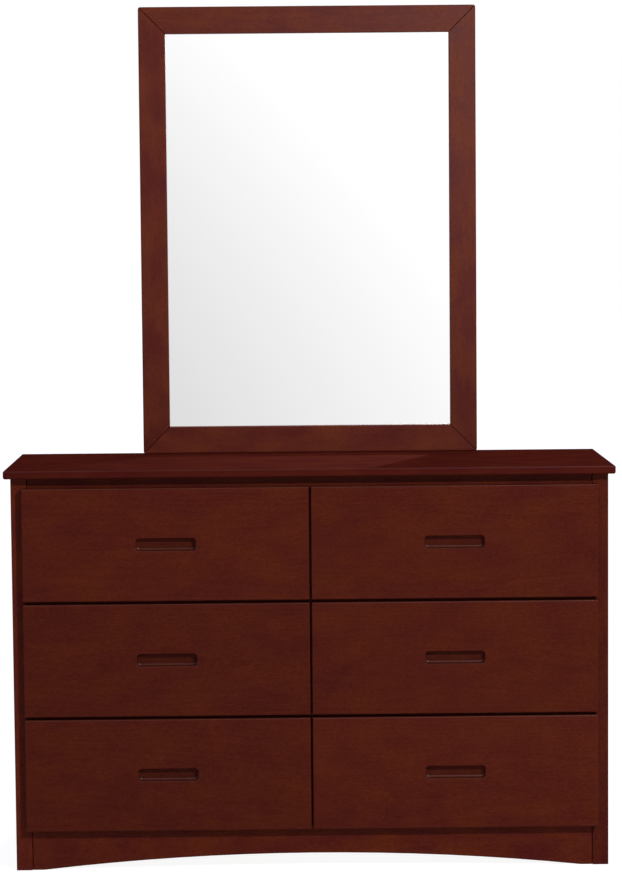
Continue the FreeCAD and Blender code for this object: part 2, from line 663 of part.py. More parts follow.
def add_mirror_supports(parts):
    """Slats that hold the mirror upright, and their screws into the carcass and the mirror."""
    rail_length = SUPPORT_THICK + BACK_THICK + SUPPORT_SCREW_BITE
    stile_length = SUPPORT_THICK + SUPPORT_SCREW_BITE
    placed = [(point, rail_length) for point in rail_screw_points()]
    placed += [(point, stile_length) for point in stile_screw_points()]
    screws = pair([wood_screw(point, length) for point, length in placed])
    bores = pair([wood_screw(point, length, SCREW_PLAY) for point, length in placed])
    holes = [in_place(bore) for bore in bores]
    parts["right_mirror_support"] = in_place(mirror_support()).cut(holes)
    parts["left_mirror_support"] = in_place(mirrored(mirror_support())).cut(holes)
    parts["mirror_support_screws"] = in_place(Part.makeCompound(screws))
    drilled = ("back_panel", "rear_top_rail", "rear_middle_rail", "mirror_left_stile", "mirror_right_stile")
    for name in drilled:
        parts[name] = parts[name].cut(holes)


def main():
    """Build every piece and write one file for each."""
    parts = {}
    add_cabinet(parts)
    add_corner_blocks(parts)
    add_runners(parts)
    add_drawers(parts)
    add_mirror(parts)
    add_mirror_supports(parts)
    os.makedirs("parts", exist_ok=True)
    for name, shape in parts.items():
        shape.exportStep(f"parts/{name}.step")


main()
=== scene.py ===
"""Looks of a six-drawer dresser with a framed mirror: its finishes, small hardware, studio and camera."""
import logging
import math
from dataclasses import dataclass, replace
from enum import Enum

import bmesh
import bpy
from mathutils import Matrix, Vector


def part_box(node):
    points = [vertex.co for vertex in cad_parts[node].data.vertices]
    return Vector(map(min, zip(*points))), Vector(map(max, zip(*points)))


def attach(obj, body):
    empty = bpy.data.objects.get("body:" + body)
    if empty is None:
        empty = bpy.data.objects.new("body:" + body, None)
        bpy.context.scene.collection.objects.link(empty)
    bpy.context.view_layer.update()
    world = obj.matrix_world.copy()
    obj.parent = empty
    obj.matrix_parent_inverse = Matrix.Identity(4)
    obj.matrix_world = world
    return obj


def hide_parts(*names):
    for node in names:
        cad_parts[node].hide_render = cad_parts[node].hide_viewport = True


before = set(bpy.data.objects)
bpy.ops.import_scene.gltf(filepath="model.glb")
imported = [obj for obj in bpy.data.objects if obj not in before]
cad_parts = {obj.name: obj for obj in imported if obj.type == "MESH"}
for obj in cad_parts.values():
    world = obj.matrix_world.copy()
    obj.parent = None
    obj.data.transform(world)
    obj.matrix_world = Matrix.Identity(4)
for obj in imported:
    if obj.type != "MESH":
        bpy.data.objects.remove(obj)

Colour = tuple[float, float, float, float]
Point = tuple[float, float, float]
Shape = bmesh.types.BMesh
Socket = bpy.types.NodeSocket
Tree = bpy.types.NodeTree

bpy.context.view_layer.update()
MM = 0.001
WHITE = (1.0, 1.0, 1.0, 1.0)
# A Mix node's two colours and their mixture, by number, because its other sockets share their names.
MIX_A, MIX_B, MIXED = 6, 7, 2
# Soft noise seldom leaves this span, so what follows it is spread between these two values.
SOFT_SPAN = (0.3, 0.7)
LOG = logging.getLogger("dresser")


def linear(colour: str) -> Colour:
    """Turns a colour to the linear values that a shader takes.

    Args:
        colour: An sRGB hex value such as "#4f1e13".

    Returns:
        Linear red, green and blue, with an alpha of 1.
    """
    shares = [int(colour[i:i + 2], 16) / 255 for i in (1, 3, 5)]
    red, green, blue = [s / 12.92 if s <= 0.04045 else ((s + 0.055) / 1.055) ** 2.4 for s in shares]
    return red, green, blue, 1.0


def add_node(tree: Tree, kind: str, links: dict | None = None, values: dict | None = None,
             **settings: object) -> bpy.types.Node:
    """Adds one shader node with its settings and links.

    Args:
        tree: The node tree that gets the node.
        kind: The node's type, without its "ShaderNode" prefix.
        links: Output sockets of other nodes, or nodes whose first output is meant, by the name or number of
            the input they go to.
        values: Constants, by the name or number of the input that holds them.
        settings: The node's own properties.

    Returns:
        The new node.
    """
    node = tree.nodes.new("ShaderNode" + kind)
    for name, setting in settings.items():
        setattr(node, name, setting)
    for socket, value in (values or {}).items():
        node.inputs[socket].default_value = value
    for socket, source in (links or {}).items():
        output = source if isinstance(source, Socket) else source.outputs[0]
        tree.links.new(output, node.inputs[socket])
    return node


def ends(side: str, pair: tuple[float, float]) -> dict[str, float]:
    """Names a pair of values as the lower and upper end of one side, From or To, of a range."""
    return {f"{side} Min": pair[0], f"{side} Max": pair[1]}


def new_material(name: str) -> tuple[bpy.types.Material, Tree]:
    """Makes an empty node material.

    Args:
        name: The material's name.

    Returns:
        The material and its cleared node tree.
    """
    material = bpy.data.materials.new(name)
    material.use_nodes = True
    material.node_tree.nodes.clear()
    return material, material.node_tree


class Lay(Enum):
    """How a board lies: its rows are the ways along the fibres, across the face and through the board."""

    RAIL = ((1, 0, 0), (0, 0, 1), (0, -1, 0))
    STILE = ((0, 0, 1), (1, 0, 0), (0, 1, 0))
    TOP = ((1, 0, 0), (0, 1, 0), (0, 0, 1))
    SIDE = ((0, 0, 1), (0, 1, 0), (-1, 0, 0))
    DRAWER_SIDE = ((0, 1, 0), (0, 0, 1), (1, 0, 0))

    @property
    def turn(self) -> Matrix:
        """The turn from object axes to the board's own axes."""
        return Matrix(self.value)


@dataclass(frozen=True)
class Timber:
    """A sawn board under its finish.

    The rings run round a pith that lies behind the face, so flat-sawn figure shows on the face and lines on
    the edges. Every stave of a glued-up board has a pith of its own. A pair of millimetres is a length along
    the fibres and a width across them, and a share says how far a pattern changes the tone.
    """

    name: str
    early: str
    late: str
    warm: str
    deep: str
    knot: str
    ring_mm: float
    stave_mm: float
    blotch_mm: tuple[float, float]
    blotch_share: float
    fibre_mm: tuple[float, float]
    fibre_share: float
    pore_share: float
    roughness: tuple[float, float]
    specular: float
    bump_mm: float
    knot_mm: float
    knot_gap_mm: float
    sheen_tint: str = "#ffffff"
    # Painted shade: how much darker a board is below its face, in routed hollows and on edges.
    recess_shade_share: float = 0.0
    edge_polish: float = 0.0
    fleck_polish: float = 0.0
    # Real pores are finer: these flecks are drawn as coarse as the render needs to show them.
    pore_mm: tuple[float, float] = (7.0, 2.4)
    # Painted shade: the depths below the face where the darkening starts, and where it has its full share.
    recess_shade_mm: tuple[float, float] = (1.0, 6.0)
    # The length and width over which the rings wander, and how far they wander.
    drift_mm: tuple[float, float, float] = (420.0, 110.0, 46.0)
    # How far along the log each next board was cut.
    cut_mm: float = 731.0
    # How far apart in the log the staves were cut, and where the first one lay from the pith.
    spread_mm: tuple[float, float, float] = (1900.0, 60.0, 80.0)
    pith_mm: tuple[float, float, float] = (0.0, -30.0, 40.0)
    # The part of a stave's width by which the glue lines move from board to board.
    glue_step: float = 0.37
    # How suddenly late wood follows early wood, where 1 is evenly.
    ring_edge: float = 2.2
    # How much of a knot is its dark heart, and how dark the heart is.
    knot_heart: tuple[float, float] = (0.35, 0.7)
    # Where the wine and orange blotches have their full colour.
    blotch_span: tuple[float, float] = (0.34, 0.66)
    # Slants of a rounded edge between which the polish comes in: 0 is upright or level, 0.25 is the most.
    polish_slant: tuple[float, float] = (0.02, 0.2)

    def material(self, node: str, lay: Lay, tone: float = 1.0) -> bpy.types.Material:
        """Makes this timber's material for one board.

        Args:
            node: The CAD node that is the board.
            lay: How the board lies.
            tone: How light this board came out, where 1 is the finish's usual tone.

        Returns:
            The material.
        """
        material, tree = new_material(f"{self.name}_{node}")
        seed = sorted(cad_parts).index(node)
        low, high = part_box(node)
        shift = Vector((self.cut_mm * seed, 0.0, 0.0)) - lay.turn @ ((low + high) / 2) / MM
        place = add_node(tree, "TexCoord")
        board = add_node(tree, "Mapping", {"Vector": place.outputs["Object"]},
                         {"Location": shift, "Rotation": lay.turn.to_euler(),
                          "Scale": (1 / MM,) * 3}).outputs[0]
        wood = self._stave(tree, board, seed)
        ring = self._rings(tree, wood)
        blotch = self._patches(tree, board, self.blotch_mm)
        fibre = self._patches(tree, wood, self.fibre_mm)
        pore = self._patches(tree, wood, self.pore_mm)
        half = abs((lay.turn @ (high - low)).z) / 2 / MM
        level = self._level(tree, board, fibre, pore, tone, half)
        colour = self._colour(tree, ring, blotch, level, self._knots(tree, wood))
        gloss = add_node(tree, "MapRange", {"Value": blotch},
                         {**ends("From", SOFT_SPAN), **ends("To", self.roughness)})
        grain = add_node(tree, "Math", {0: fibre, 1: ring}, operation="SUBTRACT")
        bump = add_node(tree, "Bump", {"Height": grain}, {"Strength": 1.0, "Distance": self.bump_mm * MM})
        links = {"Base Color": colour, "Roughness": gloss, "Normal": bump}
        if self.edge_polish:
            links["Coat Weight"] = self._polish(tree, place.outputs["Normal"], pore)
        shader = add_node(tree, "BsdfPrincipled", links,
                          {"Specular IOR Level": self.specular, "Specular Tint": linear(self.sheen_tint),
                           "Coat Roughness": self.roughness[0]})
        add_node(tree, "OutputMaterial", {"Surface": shader})
        return material

    def _polish(self, tree: Tree, normal: Socket, pore: Socket) -> Socket:
        """Finds where the lacquer shines: in fine flecks, and on upper edges that hands have polished.

        Args:
            tree: The material's node tree.
            normal: The way the surface looks, in the object's axes.
            pore: The fine short flecks.

        Returns:
            How much of the polish each place has.
        """
        way = add_node(tree, "SeparateXYZ", {0: normal})
        short = add_node(tree, "Math", {1: way.outputs["Z"]}, {0: 1.0}, operation="SUBTRACT")
        slant = add_node(tree, "Math", {0: way.outputs["Z"], 1: short}, operation="MULTIPLY")
        edge = add_node(tree, "MapRange", {"Value": slant},
                        {**ends("From", self.polish_slant), "To Max": self.edge_polish})
        fleck = add_node(tree, "MapRange", {"Value": pore},
                         {**ends("From", SOFT_SPAN), "To Max": self.fleck_polish})
        return add_node(tree, "Math", {0: edge, 1: fleck}, operation="ADD").outputs[0]

    @staticmethod
    def _patches(tree: Tree, place: Socket, size_mm: tuple[float, float]) -> Socket:
        """Draws soft patches that follow the fibres.

        Args:
            tree: The material's node tree.
            place: The place in millimetres.
            size_mm: The patches' length and width in millimetres.

        Returns:
            The patches, from 0 to 1 about a half.
        """
        along, across = size_mm
        scaled = add_node(tree, "VectorMath", {0: place}, {1: (1 / along, 1 / across, 1 / across)},
                          operation="MULTIPLY")
        return add_node(tree, "TexNoise", {"Vector": scaled},
                        {"Scale": 1.0, "Detail": 2.5, "Roughness": 0.55}).outputs["Fac"]

    def _stave(self, tree: Tree, board: Socket, seed: int) -> Socket:
        """Gives each stave of a glued-up board its own place in the log.

        Args:
            tree: The material's node tree.
            board: The place on the board, in millimetres.
            seed: The board's number.

        Returns:
            The place in the log, in millimetres from the pith.
        """
        across = add_node(tree, "SeparateXYZ", {0: board})
        count = add_node(tree, "Math", {0: across.outputs["Y"]},
                         {1: 1 / self.stave_mm, 2: self.glue_step * seed}, operation="MULTIPLY_ADD")
        number = add_node(tree, "Math", {0: count}, operation="FLOOR")
        draw = add_node(tree, "TexWhiteNoise", {"W": number}, noise_dimensions="1D")
        spread = add_node(tree, "VectorMath", {0: draw.outputs["Color"]},
                          {1: self.spread_mm, 2: self.pith_mm}, operation="MULTIPLY_ADD")
        return add_node(tree, "VectorMath", {0: board, 1: spread}, operation="ADD").outputs[0]

    def _rings(self, tree: Tree, wood: Socket) -> Socket:
        """Draws the year rings round the pith, wandering along the log.

        Args:
            tree: The material's node tree.
            wood: The place in the log, in millimetres.

        Returns:
            How far through a year's growth each place is, from pale early wood to dark late wood.
        """
        along, across, reach = self.drift_mm
        scaled = add_node(tree, "VectorMath", {0: wood}, {1: (1 / along, 1 / across, 1 / across)},
                          operation="MULTIPLY")
        drift = add_node(tree, "TexNoise", {"Vector": scaled}, {"Scale": 1.0, "Detail": 2.0})
        moved = add_node(tree, "VectorMath", {0: drift.outputs["Color"], 2: wood}, {1: (0.0, reach, reach)},
                         operation="MULTIPLY_ADD")
        # At a scale of 1 the wave comes back after tau / 20.
        rings = add_node(tree, "TexWave", {"Vector": moved},
                         {"Scale": math.tau / 20 / self.ring_mm, "Distortion": 1.2, "Detail": 2.0,
                          "Detail Scale": 0.6}, wave_type="RINGS", rings_direction="X", wave_profile="SAW")
        return add_node(tree, "Math", {0: rings.outputs["Fac"]}, {1: self.ring_edge},
                        operation="POWER").outputs[0]

    def _knots(self, tree: Tree, wood: Socket) -> Socket:
        """Scatters a few small knots.

        Args:
            tree: The material's node tree.
            wood: The place in the log, in millimetres.

        Returns:
            The knots' darkness, which is most in the heart and 0 outside.
        """
        heart, dark = self.knot_heart
        cells = add_node(tree, "TexVoronoi", {"Vector": wood}, {"Scale": 1 / self.knot_gap_mm})
        edge = self.knot_mm / self.knot_gap_mm
        return add_node(tree, "MapRange", {"Value": cells.outputs["Distance"]},
                        {"From Min": edge, "From Max": edge * heart, "To Max": dark},
                        interpolation_type="SMOOTHSTEP").outputs[0]

    def _level(self, tree: Tree, board: Socket, fibre: Socket, pore: Socket, tone: float,
               half: float) -> Socket:
        """Works out how light each place is.

        Args:
            tree: The material's node tree.
            board: The place on the board, in millimetres.
            fibre: The streaks along the fibres.
            pore: The fine short flecks.
            tone: How light the board came out.
            half: Half the board's thickness in millimetres.

        Returns:
            The level, about 1, lower below the face as painted shade in routed hollows and on edges.
        """
        streak = add_node(tree, "MapRange", {"Value": fibre},
                          {**ends("From", SOFT_SPAN), "To Min": tone * (1 - self.fibre_share),
                           "To Max": tone * (1 + self.fibre_share)})
        fleck = add_node(tree, "MapRange", {"Value": pore},
                         {**ends("From", SOFT_SPAN), "To Min": 1 - self.pore_share,
                          "To Max": 1 + self.pore_share})
        deep = add_node(tree, "SeparateXYZ", {0: board})
        # Painted shade: darker below the face, in the routed pulls and on the edges.
        recess_shade = add_node(tree, "MapRange", {"Value": deep.outputs["Z"]},
                        {"From Min": half - self.recess_shade_mm[1], "From Max": half - self.recess_shade_mm[0],
                         "To Min": 1 - self.recess_shade_share, "To Max": 1.0})
        grain = add_node(tree, "Math", {0: streak, 1: fleck}, operation="MULTIPLY")
        return add_node(tree, "Math", {0: grain, 1: recess_shade}, operation="MULTIPLY").outputs[0]

    def _colour(self, tree: Tree, ring: Socket, blotch: Socket, level: Socket, knot: Socket) -> Socket:
        """Mixes the timber's colours.

        Args:
            tree: The material's node tree.
            ring: The place in a year's growth.
            blotch: The broad uneven take-up of the finish.
            level: How light each place is.
            knot: The knots.

        Returns:
            The colour.
        """
        tone = add_node(tree, "MapRange", {"Value": blotch}, ends("From", self.blotch_span))
        broad = add_node(tree, "Mix", {"Factor": tone},
                         {MIX_A: linear(self.deep), MIX_B: linear(self.warm)}, data_type="RGBA")
        year = add_node(tree, "Mix", {"Factor": ring},
                        {MIX_A: linear(self.early), MIX_B: linear(self.late)}, data_type="RGBA")
        base = add_node(tree, "Mix", {MIX_A: year.outputs[MIXED], MIX_B: broad.outputs[MIXED]},
                        {"Factor": self.blotch_share}, data_type="RGBA")
        grained = add_node(tree, "VectorMath", {0: base.outputs[MIXED], "Scale": level}, operation="SCALE")
        return add_node(tree, "Mix", {"Factor": knot, MIX_A: grained},
                        {MIX_B: linear(self.knot)}, data_type="RGBA").outputs[MIXED]


# Pine under a red-brown wiping stain and a satin lacquer: low blotches of orange and wine over a faint
# figure and fine flecks, with a soft sheen.
STAINED_PINE = Timber(
    "stained_pine_satin", early="#521e10", late="#48160e", warm="#582410", deep="#471614", knot="#2b0d08",
    ring_mm=7.0, stave_mm=96.0, blotch_mm=(90.0, 55.0), blotch_share=0.66, fibre_mm=(42.0, 2.2),
    fibre_share=0.05, pore_share=0.15, roughness=(0.30, 0.36), specular=0.03, sheen_tint="#ffc3ac",
    bump_mm=0.02, knot_mm=8.0, knot_gap_mm=330.0, edge_polish=0.35, fleck_polish=0.05)
# The same stain on the drawer fronts, wiped more evenly; painted shade darkens the routed pulls and edges.
FRONT_PINE = replace(
    STAINED_PINE, name="stained_pine_front", warm="#552211", deep="#4b1a13", recess_shade_share=0.22)
# The same stain on the side panels, under lacquer that was rubbed duller.
SIDE_PINE = replace(STAINED_PINE, name="stained_pine_side", specular=0.015, fleck_polish=0.0)
# The same stain on the top's staves, wiped darker and redder under a dead-flat lacquer.
TOP_PINE = replace(
    STAINED_PINE, name="stained_pine_top", early="#481911", late="#44160f", warm="#4e1d11", deep="#431512",
    fibre_share=0.03, pore_share=0.08, specular=0.0, edge_polish=0.22, fleck_polish=0.0)
# The same stain on the mirror frame's narrow members, lighter than on the cabinet, under a whiter sheen.
FRAME_PINE = replace(
    STAINED_PINE, name="stained_pine_frame", early="#5c2416", late="#501c13", warm="#632c16", deep="#4f1b18",
    roughness=(0.38, 0.46), sheen_tint="#fff2ee", edge_polish=0.06, fleck_polish=0.012)
# Planed pine without a finish: straw yellow with plain darker rings and a few brown knots.
BARE_PINE = Timber(
    "bare_pine_planed", early="#d9b98a", late="#b98a55", warm="#dcbd8e", deep="#cba56f", knot="#7a4a26",
    ring_mm=5.0, stave_mm=110.0, blotch_mm=(160.0, 60.0), blotch_share=0.4, fibre_mm=(60.0, 2.0),
    fibre_share=0.05, pore_share=0.03, roughness=(0.5, 0.62), specular=0.35,
    bump_mm=0.06, knot_mm=11.0, knot_gap_mm=260.0)
# Beech runners rubbed with wax: pinkish tan with short dark ray flecks.
WAXED_BEECH = Timber(
    "beech_waxed", early="#c79a72", late="#b98a62", warm="#cda27b", deep="#bd8f68", knot="#a77a55",
    ring_mm=3.0, stave_mm=400.0, blotch_mm=(120.0, 40.0), blotch_share=0.5, fibre_mm=(12.0, 0.8),
    fibre_share=0.09, pore_share=0.06, roughness=(0.34, 0.44), specular=0.4,
    bump_mm=0.03, knot_mm=2.0, knot_gap_mm=900.0)
# Birch plywood in the drawer bottoms: pale, silky face veneer with wide, cloudy figure.
BIRCH_PLY = Timber(
    "birch_plywood_sanded", early="#dcc49c", late="#cdb083", warm="#e0caa4", deep="#d2b78c", knot="#a9855a",
    ring_mm=16.0, stave_mm=900.0, blotch_mm=(210.0, 90.0), blotch_share=0.55, fibre_mm=(30.0, 1.4),
    fibre_share=0.04, pore_share=0.03, roughness=(0.48, 0.58), specular=0.35,
    bump_mm=0.03, knot_mm=6.0, knot_gap_mm=600.0)


@dataclass(frozen=True)
class PressedBoard:
    """Hardboard's smooth side: dark brown, mottled by pressed fibres, with a dull sheen."""

    name: str = "hardboard_pressed"
    dark: str = "#5b3a22"
    light: str = "#7a5333"
    clump_mm: float = 26.0
    fibre_mm: float = 1.6
    mottle_span: tuple[float, float] = (0.7, 1.3)
    roughness: tuple[float, float] = (0.42, 0.58)
    specular: float = 0.3
    bump_mm: float = 0.05

    def material(self, node: str) -> bpy.types.Material:
        """Makes the board's material.

        Args:
            node: The CAD node that is the board.

        Returns:
            The material.
        """
        material, tree = new_material(f"{self.name}_{node}")
        place = add_node(tree, "TexCoord").outputs["Object"]
        clump = add_node(tree, "TexNoise", {"Vector": place},
                         {"Scale": 1 / (self.clump_mm * MM), "Detail": 4.0}).outputs["Fac"]
        fibre = add_node(tree, "TexNoise", {"Vector": place},
                         {"Scale": 1 / (self.fibre_mm * MM), "Detail": 2.0, "Distortion": 1.5}).outputs["Fac"]
        both = add_node(tree, "Math", {0: clump, 1: fibre}, operation="ADD")
        tone = add_node(tree, "MapRange", {"Value": both}, ends("From", self.mottle_span))
        colour = add_node(tree, "Mix", {"Factor": tone},
                          {MIX_A: linear(self.dark), MIX_B: linear(self.light)}, data_type="RGBA")
        gloss = add_node(tree, "MapRange", {"Value": clump}, ends("To", self.roughness))
        bump = add_node(tree, "Bump", {"Height": fibre}, {"Strength": 0.6, "Distance": self.bump_mm * MM})
        shader = add_node(tree, "BsdfPrincipled",
                          {"Base Color": colour.outputs[MIXED], "Roughness": gloss, "Normal": bump},
                          {"Specular IOR Level": self.specular})
        add_node(tree, "OutputMaterial", {"Surface": shader})
        return material


@dataclass(frozen=True)
class ZincSteel:
    """Zinc-plated steel: cool grey with a faint straw tinge in patches, and a shine that varies with them."""

    cool: str = "#b4b8ba"
    straw: str = "#b9b29c"
    patch_mm: float = 3.0
    patch_span: tuple[float, float] = (0.35, 0.65)
    roughness: tuple[float, float] = (0.26, 0.44)

    def material(self, node: str) -> bpy.types.Material:
        """Makes the metal's material.

        Args:
            node: The CAD node or piece that is of this metal.

        Returns:
            The material.
        """
        material, tree = new_material(f"zinc_steel_{node}")
        place = add_node(tree, "TexCoord").outputs["Object"]
        patch = add_node(tree, "TexNoise", {"Vector": place},
                         {"Scale": 1 / (self.patch_mm * MM), "Detail": 3.0}).outputs["Fac"]
        tone = add_node(tree, "MapRange", {"Value": patch}, ends("From", self.patch_span))
        colour = add_node(tree, "Mix", {"Factor": tone},
                          {MIX_A: linear(self.cool), MIX_B: linear(self.straw)}, data_type="RGBA")
        gloss = add_node(tree, "MapRange", {"Value": patch}, ends("To", self.roughness))
        shader = add_node(tree, "BsdfPrincipled", {"Base Color": colour.outputs[MIXED], "Roughness": gloss},
                          {"Metallic": 1.0})
        add_node(tree, "OutputMaterial", {"Surface": shader})
        return material


@dataclass(frozen=True)
class SilveredGlass:
    """Float glass with a silver back: a clear white reflection, broken only by a trace of wiping marks."""

    tint: str = "#fcfcfc"
    smear_mm: float = 140.0
    smear_span: tuple[float, float] = (0.45, 0.8)
    smear_roughness: float = 0.02

    def material(self) -> bpy.types.Material:
        """Makes the mirror's material.

        Returns:
            The material.
        """
        material, tree = new_material("silvered_float_glass")
        place = add_node(tree, "TexCoord")
        smear = add_node(tree, "TexNoise", {"Vector": place.outputs["Object"]},
                         {"Scale": 1 / (self.smear_mm * MM), "Detail": 2.0})
        gloss = add_node(tree, "MapRange", {"Value": smear.outputs["Fac"]},
                         {**ends("From", self.smear_span), "To Max": self.smear_roughness})
        shader = add_node(tree, "BsdfPrincipled", {"Roughness": gloss},
                          {"Base Color": linear(self.tint), "Metallic": 1.0})
        add_node(tree, "OutputMaterial", {"Surface": shader})
        return material


HARDBOARD = PressedBoard()
ZINC = ZincSteel()
# How light each drawer front came out, by rows from the top, left and right.
FRONT_TONES = ((0.945, 0.90), (0.87, 0.90), (0.905, 0.98))
# The mirror frame's members and how they lie.
FRAME_MEMBERS = {"mirror_top_rail": Lay.RAIL, "mirror_bottom_rail": Lay.RAIL,
                 "mirror_left_stile": Lay.STILE, "mirror_right_stile": Lay.STILE}


def seen_directly(tree: Tree) -> Socket:
    """Tells apart the rays that show a surface from those that only light others.

    Args:
        tree: The node tree that needs the answer.

    Returns:
        1 for rays of the camera, reflections and glass, and 0 for the rest.
    """
    path = add_node(tree, "LightPath")
    either = add_node(tree, "Math", {0: path.outputs["Is Camera Ray"], 1: path.outputs["Is Glossy Ray"]},
                      operation="MAXIMUM")
    return add_node(tree, "Math", {0: either, 1: path.outputs["Is Transmission Ray"]},
                    operation="MAXIMUM").outputs[0]


def new_object(name: str, shape: Shape, material: bpy.types.Material) -> bpy.types.Object:
    """Turns a finished bmesh into an object at the origin.

    Args:
        name: The object's name.
        shape: The bmesh, which is freed.
        material: The material of all its faces.

    Returns:
        The object, linked to the scene.
    """
    mesh = bpy.data.meshes.new(name)
    shape.to_mesh(mesh)
    shape.free()
    mesh.materials.append(material)
    thing = bpy.data.objects.new(name, mesh)
    bpy.context.scene.collection.objects.link(thing)
    return thing


def points_of(geometry: list) -> list[bmesh.types.BMVert]:
    """Picks the points out of what a bmesh operator gave back."""
    return [part for part in geometry if isinstance(part, bmesh.types.BMVert)]


def repeat(shape: Shape, places: list[Matrix]) -> Shape:
    """Copies a small shape to many places.

    Args:
        shape: The shape at the origin.
        places: Each copy's place and turn.

    Returns:
        The same mesh with the shape at every place.
    """
    first = shape.verts[:] + shape.edges[:] + shape.faces[:]
    sets = [first] + [bmesh.ops.duplicate(shape, geom=first)["geom"] for _ in places[1:]]
    for copy, place in zip(sets, places):
        bmesh.ops.transform(shape, matrix=place, verts=points_of(copy))
    return shape


def facing(point: Point, out: Point) -> Matrix:
    """Gives the place and turn of a head at a point, in metres, that looks along a direction."""
    return Matrix.Translation(point) @ Vector(out).to_track_quat("Z", "Y").to_matrix().to_4x4()


def height(node: str) -> float:
    """Gives the height of a CAD node's middle above the floor, in metres."""
    return sum(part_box(node), Vector()).z / 2


class Row(Enum):
    """The rows of drawers, from the top down."""

    TOP = "top"
    MIDDLE = "middle"
    BOTTOM = "bottom"


class Hand(Enum):
    """The two hands of a pair, as the viewer sees them, with the sign of X there."""

    LEFT = -1
    RIGHT = 1

    @property
    def word(self) -> str:
        """The hand's name as it stands in node names."""
        return self.name.lower()


@dataclass(frozen=True)
class CrossScrew:
    """The head of a cross-recessed wood screw: a low dome with a tapered cross, on a cone that sinks in."""

    radius_mm: float = 4.2
    crown_mm: float = 0.45
    cross_mm: float = 2.3
    recess_mm: float = 1.9
    sink_mm: float = 2.6
    cells: int = 5
    recess_taper: float = 0.6
    neck_share: float = 0.5

    def shape(self, places: list[Matrix]) -> Shape:
        """Makes the heads.

        Args:
            places: Each head's place and turn, its Z axis pointing out of the wood.

        Returns:
            The mesh of all heads.
        """
        shape = bmesh.new()
        bmesh.ops.create_grid(shape, x_segments=self.cells, y_segments=self.cells, size=self.cross_mm * MM,
                              matrix=Matrix.Translation((0.0, 0.0, self.crown_mm * MM)))
        arm = self.cross_mm * MM / self.cells
        cross = [f for f in shape.faces if min(map(abs, f.calc_center_median().xy)) < arm]
        floor = points_of(bmesh.ops.extrude_face_region(shape, geom=cross)["geom"])
        bmesh.ops.scale(shape, verts=floor, vec=(self.recess_taper, self.recess_taper, 1.0))
        bmesh.ops.translate(shape, verts=floor, vec=(0.0, 0.0, -self.recess_mm * MM))
        bmesh.ops.delete(shape, geom=cross, context="FACES")
        inner = [e for e in shape.edges if e.is_boundary]
        bmesh.ops.create_circle(shape, segments=len(inner), radius=self.radius_mm * MM)
        rim = [e for e in shape.edges if e.is_wire]
        bmesh.ops.bridge_loops(shape, edges=inner + rim)
        cone = bmesh.ops.extrude_edge_only(shape, edges=rim)["geom"]
        bmesh.ops.scale(shape, verts=points_of(cone), vec=(self.neck_share, self.neck_share, 1.0))
        bmesh.ops.translate(shape, verts=points_of(cone), vec=(0.0, 0.0, -self.sink_mm * MM))
        end = [e for e in cone if isinstance(e, bmesh.types.BMEdge) and e.is_boundary]
        bmesh.ops.contextual_create(shape, geom=end)
        bmesh.ops.recalc_face_normals(shape, faces=shape.faces)
        return repeat(shape, places)


@dataclass(frozen=True)
class Brad:
    """The small round head of a wire nail, set almost flush."""

    radius_mm: float = 1.3
    proud_mm: float = 0.35
    sink_mm: float = 1.0
    foot_share: float = 0.4
    round_mm: float = 0.15
    sides: int = 10

    def shape(self, places: list[Matrix]) -> Shape:
        """Makes the heads.

        Args:
            places: Each head's place and turn, its Z axis pointing out of the board.

        Returns:
            The mesh of all heads.
        """
        shape = bmesh.new()
        bmesh.ops.create_cone(shape, cap_ends=True, segments=self.sides,
                              radius1=self.foot_share * self.radius_mm * MM,
                              radius2=self.radius_mm * MM, depth=self.sink_mm * MM,
                              matrix=Matrix.Translation((0.0, 0.0, (self.proud_mm - self.sink_mm / 2) * MM)))
        crown = [e for e in shape.edges if all(v.co.z > 0 for v in e.verts)]
        bmesh.ops.bevel(shape, geom=crown, offset=self.round_mm * MM, affect="EDGES", segments=1, profile=0.5,
                        material=-1)
        return repeat(shape, places)


def dress(node: str, material: bpy.types.Material) -> None:
    """Puts a finish on a CAD node."""
    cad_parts[node].data.materials[0] = material
    LOG.info("%s: %s", node, material.name)


def fasten(name: str, shape: Shape) -> bpy.types.Object:
    """Makes a piece of zinc-plated hardware that stands with the cabinet.

    Args:
        name: The piece's name.
        shape: Its mesh.

    Returns:
        The piece.
    """
    piece = new_object(name, shape, ZINC.material(name))
    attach(piece, "cabinet")
    LOG.info("%s: %d faces", name, len(piece.data.polygons))
    return piece


